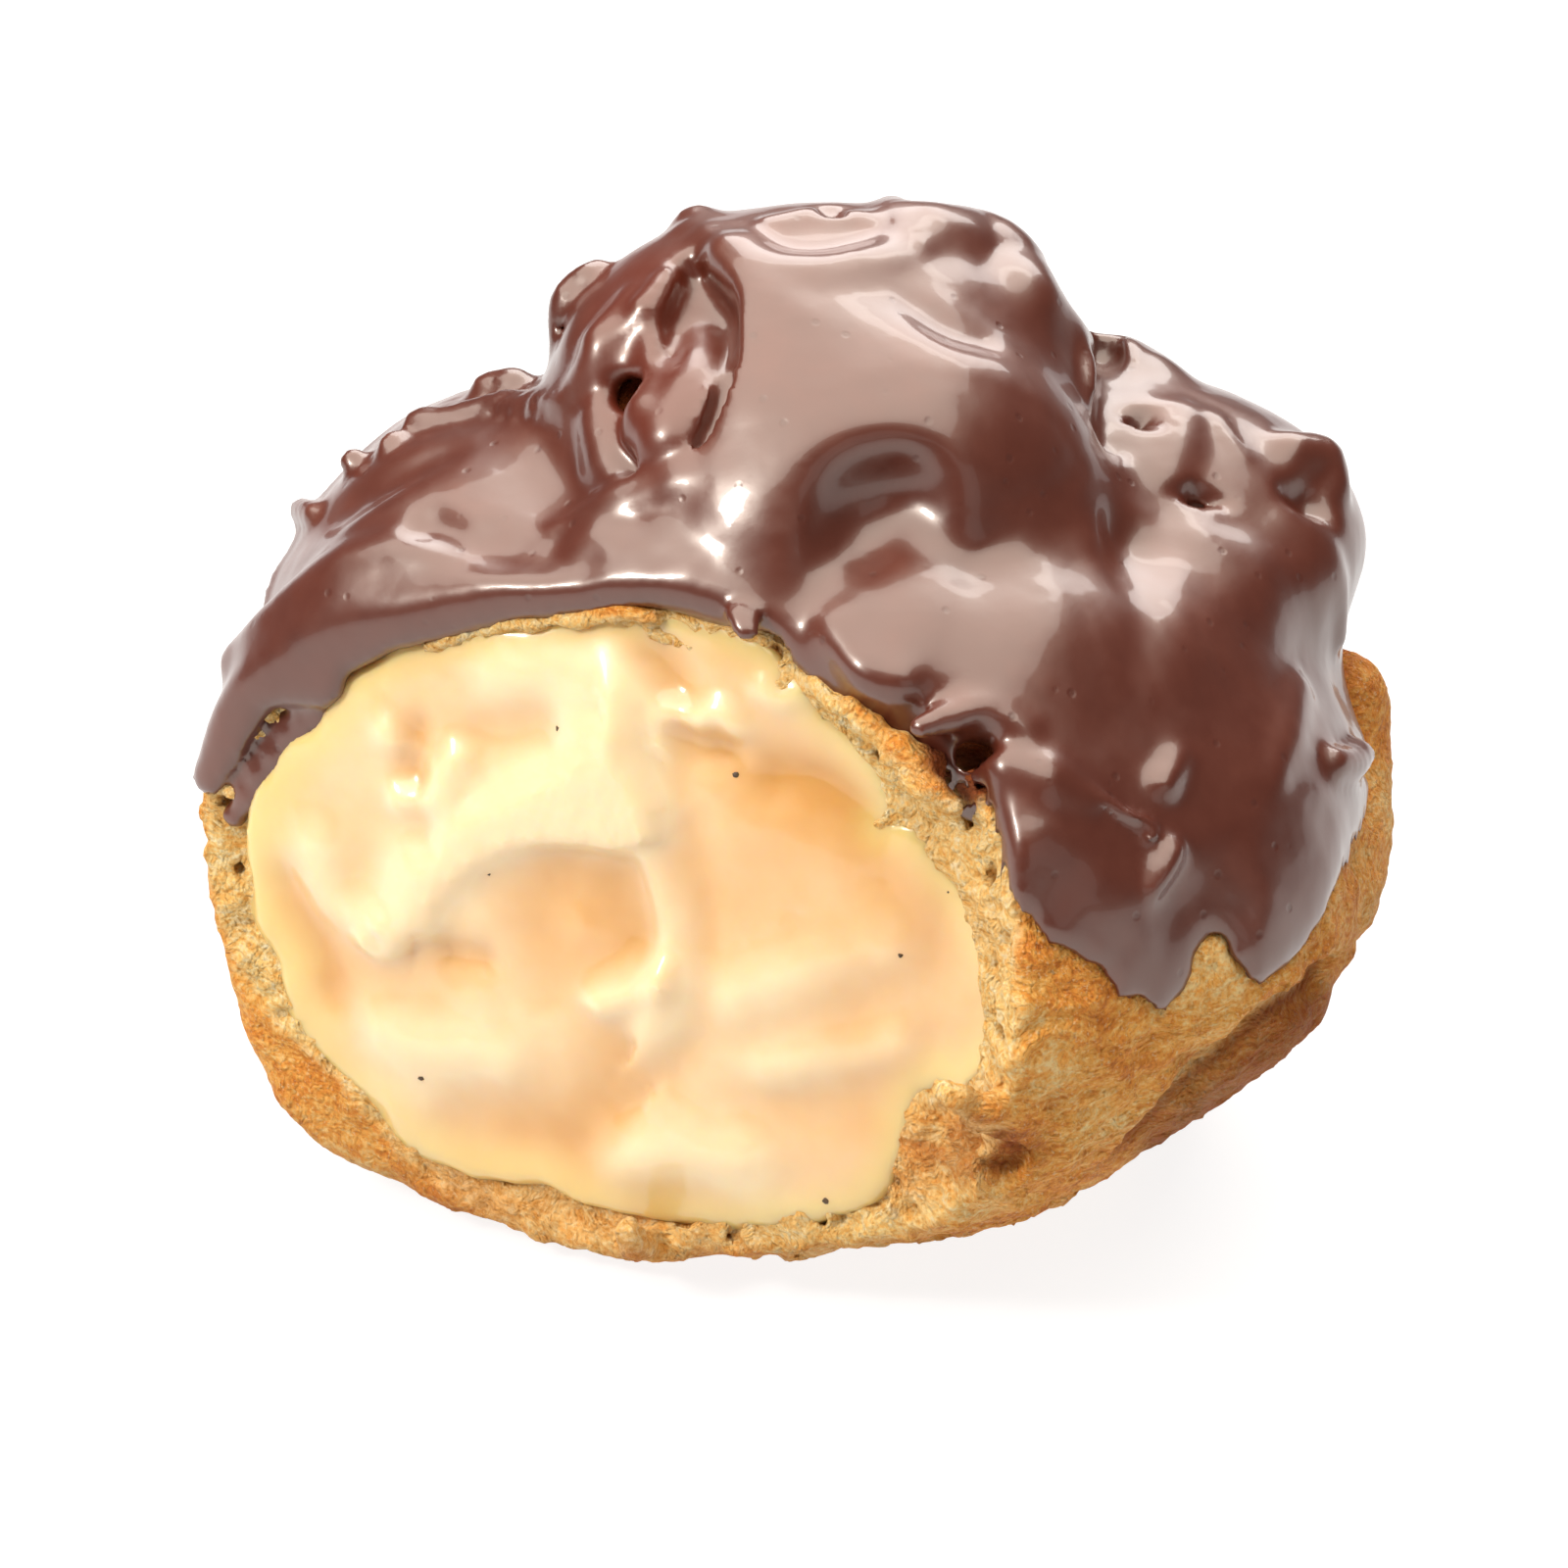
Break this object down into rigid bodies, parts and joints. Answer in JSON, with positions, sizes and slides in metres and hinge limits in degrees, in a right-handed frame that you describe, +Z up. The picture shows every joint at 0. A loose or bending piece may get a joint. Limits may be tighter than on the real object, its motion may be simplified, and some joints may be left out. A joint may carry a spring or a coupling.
{
  "type": "cream puff",
  "caption": "Lumpy round cream puff with a chocolate coat over its top, cut open at the front left to show the custard inside its thin crust.",
  "frame": {"origin": "centre of the object's box, on the surface it stands on", "axes": "+X to the right of the side seen first, +Y to the back, +Z up; the cut faces the front left, towards -Y and a little -X"},
  "size_m": [0.077, 0.0657, 0.0642],
  "materials": {
    "choux": "dry, rough, golden-brown baked crust",
    "custard": "moist, softly shining pale yellow cream",
    "chocolate": "smooth glossy dark brown glaze"
  },
  "bodies": {
    "root": {"choux_shell": "choux", "custard_filling": "custard", "chocolate_coat": "chocolate"}
  },
  "joints": []
}
